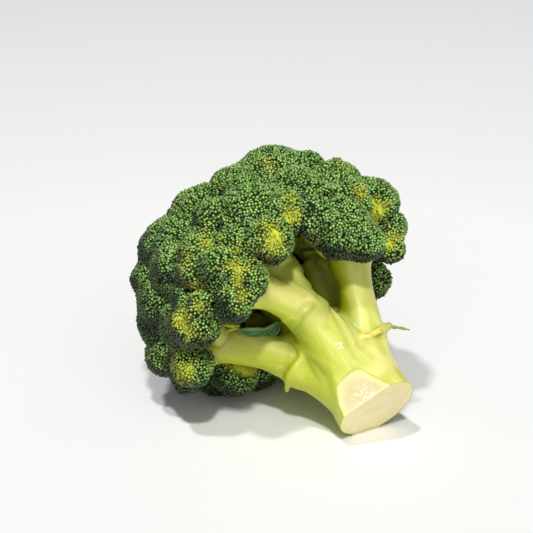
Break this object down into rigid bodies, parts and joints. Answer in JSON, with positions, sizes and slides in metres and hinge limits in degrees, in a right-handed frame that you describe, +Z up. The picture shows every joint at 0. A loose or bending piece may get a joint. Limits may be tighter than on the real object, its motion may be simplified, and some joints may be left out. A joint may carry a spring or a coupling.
{
  "type": "broccoli head",
  "caption": "Cut head of broccoli lying on its side, with a crown of budded florets on a branching pale stalk and small leaf remnants.",
  "frame": {"origin": "centre of the bounding box, at the surface that the head lies on", "axes": "+Z up, +X along the stem's direction towards its cut end, seen from above"},
  "size_m": [0.1604, 0.1591, 0.1473],
  "materials": {
    "stalk": "moist smooth rind, pale yellow-green, satin gloss, with a dull cream cut face",
    "florets": "dense dark green buds with a dull waxy gloss and yellow-green flower stalks showing between them",
    "leaf": "thin blue-green leaf with a waxy bloom"
  },
  "bodies": {
    "root": {"stalk": "stalk", "curled_leaf": "leaf", "leaf_tip": "leaf", "floret_top": "florets", "floret_upper": "florets", "floret_upper_right": "florets", "floret_right": "florets", "floret_right_low": "florets", "floret_front_right": "florets", "floret_front": "florets", "floret_upper_left": "florets", "floret_left": "florets", "floret_left_mid": "florets", "floret_inner": "florets", "floret_front_low": "florets", "floret_left_low": "florets", "floret_corner": "florets", "floret_shade": "florets", "floret_far_top": "florets", "floret_far_crown": "florets", "floret_far_upper": "florets", "floret_far_back": "florets", "floret_far_mid": "florets", "floret_far_side": "florets", "floret_far_base": "florets", "floret_far_low": "florets", "floret_base": "florets", "floret_base_low": "florets"}
  },
  "joints": []
}
